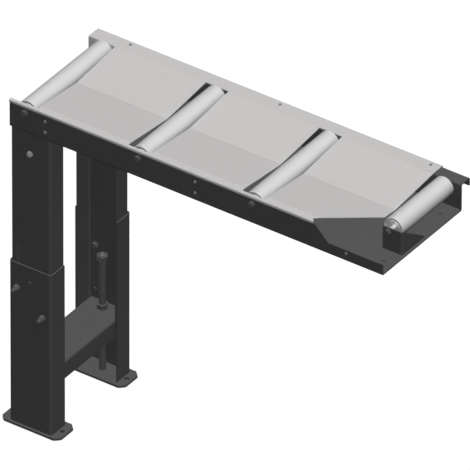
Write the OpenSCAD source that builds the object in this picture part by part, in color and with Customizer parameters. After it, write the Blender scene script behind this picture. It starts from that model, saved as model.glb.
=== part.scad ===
// Roller conveyor for the infeed or outfeed of a sawing machine.
// A folded steel body carries four rollers and a drip tray. A portal of two
// telescopic legs holds its outer end, and its inner end is screwed to the machine.
// Origin: on the floor, in the middle of the four anchor holes. +X runs along the
// conveyor to the machine, +Y to the far side, +Z up. All lengths in millimetres.

/* [Height] */
// Height of the roller tops above the floor, as drawn
roller_top_h = 876; // [860:1:900]
// How far the legs can still be drawn out
travel_up = 115; // [60:1:115]
// How far the legs can still be pushed in
travel_down = 107; // [60:1:107]

/* [Conveyor body] */
// Length of the body
body_len = 1000; // [960:1:1200]
// Width of the body between its webs
body_in_w = 300; // [280:1:340]
// Height of the body's webs
body_h = 71; // [68:0.5:76]
// Thickness of the body's sheet
body_sheet = 3; // [2:0.5:4]
// Inner radius of the body's folds
body_fold_r = 1; // [0.5:0.5:2]
// Reach of the far flange, from the inside of the far web
far_flange_w = 34; // [30:1:40]
// Depth of the lip on the far flange
far_lip_h = 20.5; // [12:0.5:30]
// Height of the near web where it is cut down, at the machine's end
low_web_h = 29.5; // [20:0.5:40]
// Length of the cut-down stretch of the near web
low_web_len = 144.5; // [120:0.5:170]
// Diameter of the holes that take the machine's screws
saw_hole_d = 9; // [7:0.5:11]
// Distance between the two machine screws
saw_hole_span = 220; // [180:1:240]
// Distance of the machine screws from the end of the body
saw_hole_in = 28; // [20:1:32]

/* [Rollers] */
// Diameter of the rollers
roller_d = 50; // [44:1:54]
// Wall of the roller tubes
roller_wall = 2; // [1.5:0.25:3]
// Chamfer at the ends of the roller tubes
tube_chamfer = 0.5; // [0.2:0.1:1]
// Distance of the first roller's axis from the end of the body
roller_first = 42; // [38:1:48]
// Distance of the last roller's axis from the machine's end of the body
roller_last = 43; // [40:1:46]
// Height of the roller axes above the underside of the body
roller_axis_h = 52; // [50:0.5:56]
// Gap between the near web and the long rollers
roller_near_gap = 8; // [7:0.5:14]
// Gap between the far web and the rollers
roller_far_gap = 3; // [2.5:0.5:6]
// Gap between the end bracket and the short roller
short_roller_gap = 15.5; // [8:0.5:30]
// Diameter of the fixed axles
axle_d = 12; // [11:0.5:13]

/* [Roller bearings] */
// Outer diameter of a bearing
bearing_d = 32; // [30:0.5:34]
// Width of a bearing
bearing_w = 10; // [9:0.5:11]
// Diameter of the circle that the balls run on
ball_ring_d = 22; // [21.5:0.25:22.5]
// Diameter of a ball
ball_d = 5.95; // [5:0.05:6]
// Height of the balls' circle above the shoulders of the rings
ball_shoulder = 1.5; // [1.2:0.1:1.8]
// Number of balls in a bearing
balls = 7; // [6:1:9]
// Thickness of the pressed bearing housings
housing_sheet = 1.5; // [1:0.25:2]
// Depth of a housing's rim inside the tube
housing_rim_w = 14; // [10:1:20]
// How far a housing's face lies inside the end of the tube
housing_recess = 3; // [1:0.5:4]
// How far a bearing lies inside the end of the tube
bearing_recess = 2; // [1:0.5:3]

/* [End bracket] */
// Width of the bracket's front plate
bracket_w = 52; // [44:1:58]
// Height of the bracket above the floor of the body
bracket_h = 59; // [57:0.5:66]
// Length of the bracket's gusset
bracket_len = 86; // [60:1:110]
// Distance of the bracket's front from the outside of the near web
bracket_y = 85; // [80:1:95]
// Width of the plate on the open side of the axle
bracket_edge = 15.5; // [13:0.5:20]
// Height of the gusset at its tail
bracket_tail_h = 4; // [2:0.5:10]
// Inner radius of the bracket's fold
bracket_fold_r = 2.5; // [1:0.5:4]

/* [Drip tray] */
// Thickness of the tray's sheet
tray_sheet = 1.5; // [1:0.25:1.5]
// Inner radius of the tray's folds
tray_fold_r = 0.5; // [0.3:0.1:0.8]
// Depth of the valley along the tray
tray_dip = 14.5; // [8:0.5:18]
// Distance of the valley from the outside of the near web
tray_valley_y = 155; // [120:1:190]
// Width of the flat strip along the near web
tray_strip_w = 18; // [12:1:24]
// Depth of the lips that hook over the body
tray_lip_h = 6; // [4:0.5:10]
// Space beside a roller in its slot
slot_side_gap = 5.5; // [4:0.5:6]
// Space before the near end of a roller in its slot
slot_end_gap = 4.6; // [2:0.1:6]
// Depth of the tab beside the first roller
tray_tab_h = 40; // [30:1:44]
// Width of the notch for the first axle in the tab
tray_notch_w = 14.5; // [13.5:0.5:17]
// Distance of the near lip's end from the end of the body
tray_lip_end = 184; // [176:1:200]
// Distance of the slanted cut's start from the end of the body
tray_cut_x = 190.5; // [184:0.5:206]
// Distance of the slanted cut's start from the outside of the near web
tray_cut_start_y = 8.5; // [4:0.5:14]
// Distance of the slanted cut's end from the outside of the near web
tray_cut_end_y = 113; // [100:1:116]

/* [Upper legs] */
// Width of an upper leg
leg_w = 108; // [100:1:120]
// Depth of an upper leg
leg_depth = 49.2; // [47:0.1:60]
// Thickness of the legs' sheet
leg_sheet = 3; // [2.5:0.5:3.5]
// Inner radius of the legs' folds
leg_fold_r = 4.5; // [3:0.5:5]
// Height of the upper legs' feet above the floor
leg_foot_h = 124; // [114:1:130]
// Sliding gap between an upper and a lower leg
leg_gap = 0.3; // [0.3:0.1:0.6]

/* [Lower legs and base plates] */
// Length of a lower leg
lower_leg_len = 433; // [395:1:500]
// Length of a base plate
plate_len = 160; // [156:1:200]
// Width of a base plate
plate_w = 70; // [66:1:80]
// Thickness of a base plate
plate_t = 5; // [4:0.5:8]
// Cut-off corners of a base plate
plate_corner = 12; // [6:0.5:16]
// Diameter of the floor anchor holes
anchor_d = 11; // [8:0.5:13]
// Distance between anchor holes along the conveyor
anchor_span_x = 133; // [133:1:136]
// Distance between anchor holes across the conveyor
anchor_span_y = 249; // [244:1:252]
// Diameter of the set-up hole near a lower leg's top
sight_hole_d = 8; // [5:0.5:10]
// Height of the set-up hole above the floor
sight_hole_h = 401; // [380:1:410]

/* [Leg clamps] */
// Sideways distance of a clamp bolt from the middle of its leg
clamp_x = 34.5; // [32:0.5:36]
// Height of the higher clamp bolt above the floor
clamp_high_h = 373; // [360:1:376]
// Height of the lower clamp bolt above the floor
clamp_low_h = 317; // [314:1:330]
// Spare length at each end of the slots
slot_spare = 0.8; // [0.5:0.1:2]
// Outer diameter of the wide washers over the slots
slot_washer_d = 20; // [18:1:22]
// How far the clamp bolts stand out past their nuts
clamp_bolt_end = 10; // [3:0.5:12]

/* [Jack] */
// Height of the crossbeam's top above the floor
beam_top_h = 172; // [168:1:176]
// Depth of the crossbeam
beam_h = 48; // [40:1:50]
// Distance of a jack rod from the middle of the portal
rod_y = 124.5; // [122:0.5:125]
// Diameter of a jack rod
rod_d = 16; // [14:0.5:18]
// Chamfer at the ends of a jack rod
rod_chamfer = 1; // [0.5:0.1:2]
// Width across the flats of the jack nuts
jack_nut_af = 24; // [23:0.5:26]
// Height of the jack nuts
jack_nut_h = 13; // [10:0.5:13]
// Height of the jack heads' tops above the floor
jack_head_top_h = 316; // [316:1:330]

/* [Head beam] */
// Depth of the head beam
head_beam_h = 40; // [30:1:50]
// Depth of the tabs at the ends of the head beam
head_tab_h = 69; // [66:1:90]
// Width of the tabs
head_tab_w = 60; // [40:1:70]
// Depth of the head screws below the body
head_screw_in = 55; // [52:1:58]
// Distance between the screws under the body, along it
mount_span_x = 60; // [50:1:70]
// Distance between the screws under the body, across it
mount_span_y = 120; // [80:1:160]

/* [Screws] */
// Diameter of the machine screws
bolt_d = 8; // [7.5:0.1:8]
// Width across the flats of their heads and nuts
bolt_af = 13; // [12:0.5:14]
// Height of their heads
bolt_head_h = 5.3; // [4:0.1:6]
// Height of their nuts
bolt_nut_h = 6.5; // [5:0.1:7]
// Outer diameter of their washers
washer_d = 16; // [15:0.5:18]
// Thickness of their washers
washer_t = 1.6; // [1:0.1:2]
// How far they stand out past their nuts
bolt_end = 3; // [2:0.5:5]
// How deep they go into an axle
axle_thread_len = 15; // [10:1:16]
// Spare depth of the thread in an axle
axle_thread_spare = 5; // [2:1:8]
// Diameter of the small screws
small_d = 4; // [3.5:0.1:4.5]
// Diameter of the small screws' round heads
small_head_d = 7.6; // [7:0.1:8.5]
// Height of the small screws' round heads
small_head_h = 2.2; // [1.8:0.05:3]
// Width across the flats of the small nuts
small_nut_af = 7; // [6.5:0.5:8]
// Height of the small nuts
small_nut_h = 3.2; // [2.5:0.1:4]
// Depth of the tray screws' shanks below the tray
small_len = 12; // [10:1:14]
// Distance of the outer screw stations from the ends of the body
station_in = 96.5; // [92:0.5:100]
// Height of the lower side screws above the underside of the body
side_low_h = 21; // [16:0.5:22]
// Height of the upper side screws above the underside of the body
side_high_h = 50; // [40:0.5:54]
// Distance of the tray screws from the inside of the far web
tray_screw_y = 23; // [20:0.5:24]
// Length of the threaded inserts behind the side screws
insert_len = 7; // [6:0.5:8]
// Outer diameter of the threaded inserts' shanks
insert_d = 6; // [5.6:0.1:6.4]
// Outer diameter of the threaded inserts' collars
insert_collar_d = 8; // [7.4:0.1:9]
// Thickness of the threaded inserts' collars
insert_collar_t = 0.5; // [0.4:0.1:0.8]

/* [Clearances] */
// Radial clearance of a screw in its hole
hole_gap = 0.5; // [0.4:0.1:0.8]
// Radial clearance of a thread, and of a rod in its nut
thread_gap = 0.05; // [0.02:0.01:0.08]
// Gap between parts that move past each other
run_gap = 0.3; // [0.3:0.05:0.5]
// Gap at a weld or a loose seat
seat_gap = 0.3; // [0.1:0.05:0.5]

/* [Hidden] */
$fn = 32;

// One overrun for every cut
over = 1;
rollers = 4;
hex_sides = 6;
ball_fn = 16;
head_fn = 24;

// Painted and bare finishes
dark_paint = [0.17, 0.17, 0.17];
light_paint = [0.76, 0.76, 0.75];
zinc = [0.62, 0.63, 0.64];
steel = [0.80, 0.80, 0.80];
black_oxide = [0.24, 0.24, 0.25];

// Places that follow from the sizes above
body_w = body_in_w + 2 * body_sheet;
body_z = roller_top_h - roller_d / 2 - roller_axis_h;
body_x = -leg_w / 2;
far_web_y = body_sheet + body_in_w;
far_edge_y = far_web_y + far_flange_w;
short_i = rollers - 1;
roller_pitch = (body_len - roller_first - roller_last) / short_i;
bracket_x = roller_x(short_i) - bracket_edge;
slot_w = roller_d + 2 * slot_side_gap;
lower_leg_w = leg_w + 2 * (leg_gap + leg_sheet);
lower_leg_depth = leg_depth + leg_gap + leg_sheet;
leg_y = body_in_w / 2;
leg_in_w = leg_w - 2 * leg_sheet;
beam_w = leg_in_w - 2 * seat_gap;
beam_len = 2 * (leg_y - leg_sheet - seat_gap);
beam_corner = leg_fold_r + seat_gap;
clamp_slot_w = bolt_d + 2 * hole_gap;
hole_d = bolt_d + 2 * hole_gap;
small_hole_d = small_d + 2 * hole_gap;
rod_hole_d = rod_d + 2 * hole_gap;
rod_foot_h = plate_t + run_gap;
rod_end_in = 2 * hole_gap;
stations = [station_in, body_len / 2, body_len - station_in];
tray_top_h = body_h + tray_sheet;
tray_end_x = roller_x(short_i) - slot_w / 2;
housing_r = roller_d / 2 - roller_wall;

// Distance of a roller's axis from the outer end of the body
function roller_x(i) = roller_first + i * roller_pitch;

// Near and far end of a roller's tube, from the outside of the near web
function tube_start(i) = i == short_i
    ? bracket_y + body_sheet + short_roller_gap
    : body_sheet + roller_near_gap;
function tube_stop(i) = far_web_y - roller_far_gap;

// Near end of an axle: the inside of the near web, or of the bracket
function axle_start(i) = i == short_i ? bracket_y + body_sheet : body_sheet;

// Radius that a fold gives to the face the path follows
function path_r(turn, sheet, r) = turn > 0 ? r + sheet : r;
function fold_back(turn, sheet, r) = path_r(turn, sheet, r) * tan(abs(turn) / 2);

// A right-angled fold, of quarter rings, at the end of a run
module fold(turn, sheet, r) {
    side = sign(turn);
    reach = 2 * (r + sheet);
    translate([0, side > 0 ? r + sheet : -r])
        intersection() {
            difference() {
                circle(r + sheet);
                circle(r);
            }
            translate([0, side > 0 ? -reach : 0]) square(reach);
        }
}

// Outline of a folded sheet. The path runs along one face, with the sheet on its
// left. legs are the lengths between sharp corners, and turns the folds between
// them, 90 to the left or -90 to the right.
module folded(legs, turns, sheet, r, i = 0) {
    before = i == 0 ? 0 : fold_back(turns[i - 1], sheet, r);
    after = i == len(turns) ? 0 : fold_back(turns[i], sheet, r);
    run = legs[i] - before - after;
    square([run, sheet]);
    if (i < len(turns)) {
        turn_r = path_r(turns[i], sheet, r);
        translate([run, 0]) {
            fold(turns[i], sheet, r);
            translate([turn_r, sign(turns[i]) * turn_r])
                rotate(turns[i]) folded(legs, turns, sheet, r, i + 1);
        }
    }
}

// Extrudes an outline drawn in Y and Z along +X
module along_x(length) {
    rotate([90, 0, 90]) linear_extrude(length) children();
}

// Extrudes an outline drawn in X and Z along Y, both ways from the middle
module across_y(length) {
    rotate([90, 0, 0]) linear_extrude(length, center = true) children();
}

// Turns what stands up along Z to point along +Y
module point_y() {
    rotate([-90, 0, 0]) children();
}

// Places what is drawn from the body's outer end, near web and underside
module on_body() {
    translate([body_x, -body_w / 2, body_z]) children();
}

// The far side is the near side turned half round
module side(far) {
    rotate(far ? 180 : 0) children();
}

// Rectangle with its corners cut off, in the middle of the frame
module clipped(length, width, corner) {
    x = length / 2;
    y = width / 2;
    polygon([[corner - x, -y], [x - corner, -y], [x, corner - y], [x, y - corner],
        [x - corner, y], [corner - x, y], [-x, y - corner], [-x, corner - y]]);
}

module hex(af, height) {
    cylinder(h = height, d = af / cos(180 / hex_sides), $fn = hex_sides);
}

module ring(outer_d, inner_d, height) {
    difference() {
        cylinder(h = height, d = outer_d);
        translate([0, 0, -over]) cylinder(h = height + 2 * over, d = inner_d);
    }
}

// Hexagon nut on a thread
module nut(af, height, thread_d) {
    difference() {
        hex(af, height);
        translate([0, 0, -over])
            cylinder(h = height + 2 * over, d = thread_d + 2 * thread_gap);
    }
}

// Hexagon screw: the head's bearing face is at zero, the shank points up
module hex_screw(length) {
    translate([0, 0, -bolt_head_h]) hex(bolt_af, bolt_head_h);
    cylinder(h = length, d = bolt_d);
}

// Small screw with a round head: the same way up
module small_screw(length) {
    head_r = (pow(small_head_d / 2, 2) + pow(small_head_h, 2)) / (2 * small_head_h);
    intersection() {
        translate([0, 0, head_r - small_head_h]) sphere(head_r, $fn = head_fn);
        translate([0, 0, -small_head_h]) cylinder(h = small_head_h, d = small_head_d);
    }
    cylinder(h = length, d = small_d);
}

// Base plate under one lower leg, with two anchor holes
module base_plate(far) {
    color(dark_paint) side(far)
        translate([0, -anchor_span_y / 2, 0]) difference() {
            linear_extrude(plate_t) clipped(plate_len, plate_w, plate_corner);
            for (x = [-anchor_span_x, anchor_span_x] / 2)
                translate([x, 0, -over]) cylinder(h = plate_t + 2 * over, d = anchor_d);
        }
}

// Channel outline of a leg, its web on the X axis and open towards +Y
module leg_outline(width, depth) {
    translate([-width / 2, depth]) rotate(-90)
        folded([depth, width, depth], [90, 90], leg_sheet, leg_fold_r);
}

// The two clamp places of the near leg: sideways place and height
function clamp_places() = [[-clamp_x, clamp_high_h], [clamp_x, clamp_low_h]];

// Lower leg, welded to its base plate
module lower_leg(far) {
    web_y = leg_y + leg_gap + leg_sheet;
    color(dark_paint) side(far) difference() {
        translate([0, -web_y, plate_t])
            linear_extrude(lower_leg_len) leg_outline(lower_leg_w, lower_leg_depth);
        for (p = clamp_places())
            translate([p[0], -web_y - over, p[1]])
                point_y() cylinder(h = leg_sheet + 2 * over, d = hole_d);
        translate([0, -web_y - over, sight_hole_h])
            point_y() cylinder(h = leg_sheet + 2 * over, d = sight_hole_d);
    }
}

// Upright slot that a clamp bolt slides in
module clamp_slot(low, high) {
    translate([-clamp_slot_w / 2, low]) square([clamp_slot_w, high - low]);
    translate([0, low]) circle(d = clamp_slot_w);
    translate([0, high]) circle(d = clamp_slot_w);
}

// Upper leg, which slides inside the lower leg and carries the body
module upper_leg(far) {
    color(dark_paint) side(far) difference() {
        translate([0, -leg_y, leg_foot_h])
            linear_extrude(body_z - leg_foot_h) leg_outline(leg_w, leg_depth);
        for (p = clamp_places())
            translate([p[0], -leg_y + leg_sheet / 2, 0])
                across_y(leg_sheet + 2 * over)
                    clamp_slot(p[1] - travel_up - slot_spare, p[1] + travel_down + slot_spare);
        translate([0, -leg_y - over, body_z - head_screw_in])
            point_y() cylinder(h = leg_sheet + 2 * over, d = hole_d);
    }
}

// Clamp bolts: head inside, over a wide washer, and thread end outside
clamp_head_y = leg_y - leg_sheet - run_gap - washer_t;
clamp_nut_y = leg_y + leg_gap + leg_sheet + washer_t;

module at_clamps() {
    for (far = [false, true])
        side(far)
            for (p = clamp_places())
                translate([p[0], 0, p[1]]) rotate([90, 0, 0]) children();
}

module clamp_bolts() {
    color(zinc) at_clamps()
        translate([0, 0, clamp_head_y])
            hex_screw(clamp_nut_y + bolt_nut_h + clamp_bolt_end - clamp_head_y);
}

module clamp_nuts() {
    color(zinc) at_clamps()
        translate([0, 0, clamp_nut_y]) nut(bolt_af, bolt_nut_h, bolt_d);
}

module clamp_washers() {
    color(black_oxide) at_clamps()
        translate([0, 0, clamp_nut_y - washer_t]) ring(washer_d, hole_d, washer_t);
}

module slot_washers() {
    color(black_oxide) at_clamps()
        translate([0, 0, clamp_head_y]) ring(slot_washer_d, hole_d, washer_t);
}

// Outline of a beam folded downwards, its top on the X axis
module beam_outline(width, depth) {
    translate([width / 2, -depth]) rotate(90)
        folded([depth, width, depth], [90, 90], leg_sheet, leg_fold_r);
}

// Crossbeam between the feet of the upper legs; the jack rods lift it
module crossbeam() {
    color(dark_paint) difference() {
        intersection() {
            translate([0, 0, beam_top_h]) across_y(beam_len) beam_outline(beam_w, beam_h);
            translate([0, 0, beam_top_h - beam_h - over])
                linear_extrude(beam_h + 2 * over) clipped(beam_w + over, beam_len, beam_corner);
        }
        for (y = [-rod_y, rod_y])
            translate([0, y, beam_top_h - leg_sheet - over])
                cylinder(h = leg_sheet + 2 * over, d = rod_hole_d);
    }
}

// Nuts welded onto the crossbeam
module crossbeam_nuts() {
    color(black_oxide) for (y = [-rod_y, rod_y])
        translate([0, y, beam_top_h]) nut(jack_nut_af, jack_nut_h, rod_d);
}

// Threaded rod that stands on a base plate
module jack_rod(far) {
    rod_r = rod_d / 2;
    top = jack_head_top_h - rod_end_in;
    color(black_oxide) side(far) translate([0, -rod_y, 0])
        rotate_extrude() polygon([[0, rod_foot_h], [rod_r - rod_chamfer, rod_foot_h],
            [rod_r, rod_foot_h + rod_chamfer], [rod_r, top - rod_chamfer],
            [rod_r - rod_chamfer, top], [0, top]]);
}

// Nut pinned to the top of a rod, to turn it with a spanner
module jack_head(far) {
    color(black_oxide) side(far)
        translate([0, -rod_y, jack_head_top_h - jack_nut_h])
            nut(jack_nut_af, jack_nut_h, rod_d);
}

// Head beam between the tops of the upper legs, with a tab down each web
module head_beam() {
    tab_y = beam_len / 2;
    tongue = 2 * leg_sheet + leg_fold_r;
    color(dark_paint) difference() {
        union() {
            intersection() {
                translate([0, 0, body_z])
                    across_y(beam_len - 2 * leg_fold_r - 2 * leg_sheet)
                        beam_outline(beam_w, head_beam_h);
                translate([0, 0, body_z - head_beam_h - over])
                    linear_extrude(head_beam_h + 2 * over)
                        clipped(beam_w + over, beam_len, beam_corner);
            }
            for (far = [false, true])
                side(far) translate([-head_tab_w / 2, -tab_y, body_z])
                    along_x(head_tab_w) translate([0, -head_tab_h]) mirror([1, 0])
                        rotate(90) folded([head_tab_h, tongue + leg_fold_r], [90],
                            leg_sheet, leg_fold_r);
        }
        for (far = [false, true])
            side(far) translate([0, -tab_y - over, body_z - head_screw_in])
                point_y() cylinder(h = leg_sheet + 2 * over, d = hole_d);
        for (x = [-mount_span_x, mount_span_x] / 2, y = [-mount_span_y, mount_span_y] / 2)
            translate([x, y, body_z - leg_sheet - over])
                cylinder(h = leg_sheet + 2 * over, d = hole_d);
    }
}

// Screws through the upper legs' webs into the tabs, and their nuts inside
module head_screws() {
    length = leg_sheet + seat_gap + leg_sheet + bolt_nut_h + bolt_end;
    color(zinc) for (far = [false, true])
        side(far) translate([0, -leg_y, body_z - head_screw_in])
            point_y() hex_screw(length);
}

module head_nuts() {
    color(zinc) for (far = [false, true])
        side(far)
            translate([0, -leg_y + leg_sheet + seat_gap + leg_sheet, body_z - head_screw_in])
                point_y() nut(bolt_af, bolt_nut_h, bolt_d);
}

// Screws that hold the body down on the head beam, and their nuts below
module at_body_screws() {
    for (x = [-mount_span_x, mount_span_x] / 2, y = [-mount_span_y, mount_span_y] / 2)
        translate([x, y, body_z]) children();
}

module body_screws() {
    length = body_sheet + leg_sheet + bolt_nut_h + bolt_end;
    color(zinc) at_body_screws()
        translate([0, 0, body_sheet]) mirror([0, 0, 1]) hex_screw(length);
}

module body_nuts() {
    color(zinc) at_body_screws()
        translate([0, 0, -leg_sheet - bolt_nut_h]) nut(bolt_af, bolt_nut_h, bolt_d);
}

// Body: one sheet folded to a trough, with a flange and lip along the far side
module conveyor_body() {
    cut_x = body_len - low_web_len;
    slope = body_h - low_web_h;
    color(dark_paint) on_body() difference() {
        along_x(body_len) translate([0, body_h]) rotate(-90)
            folded([body_h, body_w, body_h - body_sheet,
                    far_flange_w - 2 * body_sheet, far_lip_h - body_sheet],
                [90, 90, -90, -90], body_sheet, body_fold_r);
        translate([0, body_sheet / 2, 0]) across_y(body_sheet + 2 * over)
            polygon([[cut_x - slope, body_h], [cut_x, low_web_h],
                [body_len + over, low_web_h], [body_len + over, body_h + over],
                [cut_x - slope, body_h + over]]);
        for (i = [0:short_i]) {
            if (i < short_i)
                translate([roller_x(i), -over, roller_axis_h])
                    point_y() cylinder(h = body_sheet + 2 * over, d = hole_d);
            translate([roller_x(i), far_web_y - over, roller_axis_h])
                point_y() cylinder(h = body_sheet + 2 * over, d = hole_d);
        }
        for (p = side_places())
            translate([p[0], -over, p[1]])
                point_y() cylinder(h = body_sheet + 2 * over, d = insert_d + 2 * thread_gap);
        for (x = stations)
            translate([x, far_web_y + tray_screw_y, body_h - body_sheet - over])
                cylinder(h = body_sheet + 2 * over, d = small_hole_d);
        for (y = [-saw_hole_span, saw_hole_span] / 2)
            translate([body_len - saw_hole_in, body_w / 2 + y, -over])
                cylinder(h = body_sheet + 2 * over, d = saw_hole_d);
        for (x = [-mount_span_x, mount_span_x] / 2, y = [-mount_span_y, mount_span_y] / 2)
            translate([x - body_x, y + body_w / 2, -over])
                cylinder(h = body_sheet + 2 * over, d = hole_d);
    }
}

// Side screws: two at each station, one where the web is cut down
function side_places() = [
    for (x = stations, z = [side_low_h, side_high_h])
        if (z < low_web_h || x < body_len - low_web_len - body_h) [x, z]];

module side_screws() {
    color(black_oxide) on_body()
        for (p = side_places())
            translate([p[0], -insert_collar_t, p[1]])
                point_y() small_screw(insert_len);
}

// Threaded inserts riveted into the near web
module side_inserts() {
    length = insert_len + body_sheet;
    color(black_oxide) on_body()
        for (p = side_places())
            translate([p[0], 0, p[1]]) point_y() difference() {
                union() {
                    translate([0, 0, -insert_collar_t])
                        cylinder(h = insert_collar_t, d = insert_collar_d);
                    cylinder(h = length, d = insert_d);
                }
                translate([0, 0, -insert_collar_t - over])
                    cylinder(h = length + insert_collar_t + 2 * over,
                        d = small_d + 2 * thread_gap);
            }
}

// Bracket welded into the body, which holds the near end of the short roller
module end_bracket() {
    top = body_sheet + bracket_h;
    fold_end = bracket_y + body_sheet + bracket_fold_r;
    tail = bracket_y + bracket_len;
    color(dark_paint) on_body() difference() {
        intersection() {
            translate([bracket_x, bracket_y, body_sheet]) linear_extrude(bracket_h)
                folded([bracket_w, bracket_len], [90], body_sheet, bracket_fold_r);
            translate([bracket_x - over, 0, 0]) along_x(bracket_w + 2 * over)
                polygon([[bracket_y - over, 0], [tail + over, 0],
                    [tail + over, body_sheet + bracket_tail_h],
                    [tail, body_sheet + bracket_tail_h], [fold_end, top],
                    [bracket_y - over, top]]);
        }
        translate([roller_x(short_i), bracket_y - over, roller_axis_h])
            point_y() cylinder(h = body_sheet + 2 * over, d = hole_d);
    }
}

// Tray: a shallow valley between two strips, with lips over both sides of the body
module tray_outline() {
    lip = tray_lip_h - tray_sheet;
    near = -tray_fold_r;
    far = far_edge_y + tray_fold_r;
    stub = 2 * tray_fold_r + tray_sheet;
    translate([near, body_h - lip]) rotate(90)
        folded([lip, stub], [-90], tray_sheet, tray_fold_r);
    translate([far, body_h - lip]) mirror([1, 0]) rotate(90)
        folded([lip, stub], [-90], tray_sheet, tray_fold_r);
    polygon([
        [near + tray_fold_r, body_h], [tray_strip_w, body_h],
        [tray_valley_y, body_h - tray_dip], [far_web_y, body_h],
        [far - tray_fold_r, body_h], [far - tray_fold_r, tray_top_h],
        [far_web_y, tray_top_h], [tray_valley_y, tray_top_h - tray_dip],
        [tray_strip_w, tray_top_h], [near + tray_fold_r, tray_top_h]]);
}

module drip_tray() {
    slot_start = body_sheet + roller_near_gap - slot_end_gap;
    cut_from = body_len - tray_cut_x;
    lip_end = body_len - tray_lip_end;
    depth = tray_dip + tray_lip_h + tray_sheet;
    tab_end_y = far_web_y - seat_gap - tray_sheet;
    tab_len = roller_x(0) + slot_w / 2;
    color(light_paint) on_body() {
        difference() {
            along_x(tray_end_x) tray_outline();
            translate([0, 0, tray_top_h - depth - over]) linear_extrude(depth + 2 * over) {
                for (i = [0:short_i - 1])
                    translate([roller_x(i) - slot_w / 2 - (i == 0 ? slot_w : 0), slot_start])
                        square([slot_w + (i == 0 ? slot_w : 0), far_web_y - slot_start]);
                polygon([[lip_end, -tray_lip_h], [tray_end_x + over, -tray_lip_h],
                    [tray_end_x + over, tray_cut_end_y], [tray_end_x, tray_cut_end_y],
                    [cut_from, tray_cut_start_y], [lip_end, 0]]);
            }
            for (x = stations)
                translate([x, far_web_y + tray_screw_y, body_h - over])
                    cylinder(h = tray_sheet + 2 * over, d = small_hole_d);
        }
        difference() {
            translate([0, far_web_y + far_flange_w / 2, tray_top_h])
                along_x(tab_len) rotate(180)
                    folded([far_web_y + far_flange_w / 2 - tab_end_y, tray_tab_h], [90],
                        tray_sheet, tray_fold_r);
            translate([roller_x(0), tab_end_y + tray_sheet / 2, 0])
                across_y(tray_sheet + 2 * over) {
                    translate([0, roller_axis_h]) circle(d = tray_notch_w);
                    translate([-tray_notch_w / 2, 0]) square([tray_notch_w, roller_axis_h]);
                }
        }
    }
}

module tray_screws() {
    color(black_oxide) on_body()
        for (x = stations)
            translate([x, far_web_y + tray_screw_y, tray_top_h])
                mirror([0, 0, 1]) small_screw(small_len);
}

module tray_nuts() {
    color(black_oxide) on_body()
        for (x = stations)
            translate([x, far_web_y + tray_screw_y, body_h - body_sheet - small_nut_h])
                nut(small_nut_af, small_nut_h, small_d);
}

// Fixed axle with a threaded hole in each end
module axle(i) {
    start = axle_start(i);
    length = far_web_y - start;
    thread = axle_thread_len + axle_thread_spare;
    color(steel) on_body() translate([roller_x(i), start, roller_axis_h])
        point_y() difference() {
            cylinder(h = length, d = axle_d);
            for (z = [-over, length - thread])
                translate([0, 0, z])
                    cylinder(h = thread + over, d = bolt_d + 2 * thread_gap);
        }
}

// The two ends of every axle: what is drawn there has its seat at zero and
// points into the axle
module at_axle_ends() {
    on_body() for (i = [0:short_i])
        translate([roller_x(i), 0, roller_axis_h]) {
            translate([0, axle_start(i) - body_sheet, 0]) point_y() children();
            translate([0, far_web_y + body_sheet, 0]) rotate([90, 0, 0]) children();
        }
}

module axle_screws() {
    color(black_oxide) at_axle_ends()
        translate([0, 0, -washer_t]) hex_screw(washer_t + body_sheet + axle_thread_len);
}

module axle_washers() {
    color(black_oxide) at_axle_ends() translate([0, 0, -washer_t])
        ring(washer_d, hole_d, washer_t);
}

// Draws something at the near end of a roller, and its mirror image at the far end
module at_roller_ends(i) {
    on_body() translate([roller_x(i), 0, roller_axis_h]) {
        translate([0, tube_start(i), 0]) point_y() children();
        translate([0, tube_stop(i), 0]) rotate([90, 0, 0]) children();
    }
}

// Steel tube that the stock runs on
module roller_tube(i) {
    length = tube_stop(i) - tube_start(i);
    outer = roller_d / 2;
    color(steel) on_body() translate([roller_x(i), tube_start(i), roller_axis_h])
        point_y() rotate_extrude()
            polygon([[housing_r, 0], [outer - tube_chamfer, 0], [outer, tube_chamfer],
                [outer, length - tube_chamfer], [outer - tube_chamfer, length],
                [housing_r, length]]);
}

// Pressed housings that carry the bearings in the ends of the tube
module roller_housings(i) {
    hub_r = bearing_d / 2;
    hub_end = bearing_recess + bearing_w;
    color(zinc) at_roller_ends(i) rotate_extrude() {
        translate([hub_r, housing_recess])
            square([housing_r - hub_r, housing_sheet]);
        translate([housing_r - housing_sheet, housing_recess])
            square([housing_sheet, housing_rim_w]);
        translate([hub_r, housing_recess])
            square([housing_sheet, hub_end - housing_recess]);
    }
}

// Ring of a bearing, with the groove that its balls run in
module bearing_ring(inner_r, outer_r, groove_r) {
    rotate_extrude() difference() {
        translate([inner_r, 0]) square([outer_r - inner_r, bearing_w]);
        translate([ball_ring_d / 2, bearing_w / 2]) circle(groove_r, $fn = ball_fn);
    }
}

module bearing_inner(i) {
    color(steel) at_roller_ends(i) translate([0, 0, bearing_recess])
        bearing_ring(axle_d / 2, ball_ring_d / 2 - ball_shoulder, ball_d / 2 + run_gap);
}

module bearing_outer(i) {
    color(steel) at_roller_ends(i) translate([0, 0, bearing_recess])
        bearing_ring(ball_ring_d / 2 + ball_shoulder, bearing_d / 2, ball_d / 2 + thread_gap);
}

module bearing_balls(i) {
    color(steel) at_roller_ends(i) translate([0, 0, bearing_recess + bearing_w / 2])
        for (k = [0:balls - 1])
            rotate(k * 360 / balls) translate([ball_ring_d / 2, 0, 0])
                sphere(d = ball_d, $fn = ball_fn);
}

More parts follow.
